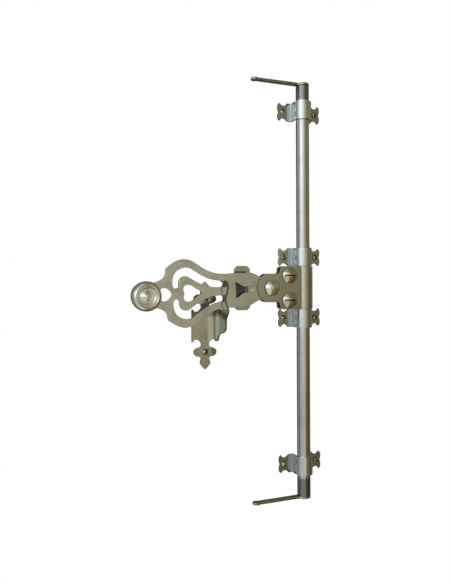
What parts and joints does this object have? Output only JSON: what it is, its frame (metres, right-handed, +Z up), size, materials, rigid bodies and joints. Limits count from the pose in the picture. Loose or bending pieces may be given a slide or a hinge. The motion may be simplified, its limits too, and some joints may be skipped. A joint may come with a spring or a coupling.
{
  "type": "espagnolette",
  "caption": "Rotating-rod window or shutter bolt: rod in screwed guides with a flat hook at each end, and a pierced swing handle that lies in a catch plate.",
  "frame": {"origin": "on the rod's axis, at the middle of the hub's height", "axes": "+X to the right along the window frame, +Y into the window frame, +Z up along the rod"},
  "size_m": [0.2126, 0.0418, 0.4389],
  "materials": {
    "top_guide_steel": "satin",
    "upper_guide_steel": "satin",
    "lower_guide_steel": "satin",
    "bottom_guide_steel": "satin",
    "top_guide_screw_left_steel": "satin",
    "top_guide_screw_right_steel": "satin",
    "upper_guide_screw_left_steel": "satin",
    "upper_guide_screw_right_steel": "satin",
    "lower_guide_screw_left_steel": "satin",
    "lower_guide_screw_right_steel": "satin",
    "bottom_guide_screw_left_steel": "satin",
    "bottom_guide_screw_right_steel": "satin",
    "catch_steel": "satin",
    "catch_screw_upper_steel": "satin",
    "catch_screw_lower_steel": "satin",
    "rod_steel": "satin",
    "top_hook_steel": "satin",
    "bottom_hook_steel": "satin",
    "hub_steel": "satin",
    "clamp_screw_upper_steel": "satin",
    "clamp_screw_lower_steel": "satin",
    "clamp_nut_upper_steel": "satin",
    "clamp_nut_lower_steel": "satin",
    "pivot_rivet_steel": "satin",
    "handle_plate_steel": "satin",
    "tongue_steel": "satin",
    "handle_rivet_upper_steel": "satin",
    "handle_rivet_lower_steel": "satin",
    "knob_steel": "polished",
    "knob_screw_steel": "satin"
  },
  "bodies": {
    "fixed": {"top_guide": "top_guide_steel", "upper_guide": "upper_guide_steel", "lower_guide": "lower_guide_steel", "bottom_guide": "bottom_guide_steel", "top_guide_screw_left": "top_guide_screw_left_steel", "top_guide_screw_right": "top_guide_screw_right_steel", "upper_guide_screw_left": "upper_guide_screw_left_steel", "upper_guide_screw_right": "upper_guide_screw_right_steel", "lower_guide_screw_left": "lower_guide_screw_left_steel", "lower_guide_screw_right": "lower_guide_screw_right_steel", "bottom_guide_screw_left": "bottom_guide_screw_left_steel", "bottom_guide_screw_right": "bottom_guide_screw_right_steel", "catch": "catch_steel", "catch_screw_upper": "catch_screw_upper_steel", "catch_screw_lower": "catch_screw_lower_steel"},
    "turning_rod": {"rod": "rod_steel", "top_hook": "top_hook_steel", "bottom_hook": "bottom_hook_steel", "hub": "hub_steel", "clamp_screw_upper": "clamp_screw_upper_steel", "clamp_screw_lower": "clamp_screw_lower_steel", "clamp_nut_upper": "clamp_nut_upper_steel", "clamp_nut_lower": "clamp_nut_lower_steel", "pivot_rivet": "pivot_rivet_steel"},
    "handle": {"handle_plate": "handle_plate_steel", "tongue": "tongue_steel", "handle_rivet_upper": "handle_rivet_upper_steel", "handle_rivet_lower": "handle_rivet_lower_steel", "knob": "knob_steel", "knob_screw": "knob_screw_steel"}
  },
  "joints": [
    {"name": "rod_turn", "type": "hinge", "parent": "fixed", "child": "turning_rod", "pos_m": [0, 0, 0], "axis": [0, 0, 1], "range_deg": [0, 110]},
    {"name": "handle_lift", "type": "hinge", "parent": "turning_rod", "child": "handle", "pos_m": [-0.0402, 0, 0], "axis": [0, 1, 0], "range_deg": [0, 60]}
  ]
}
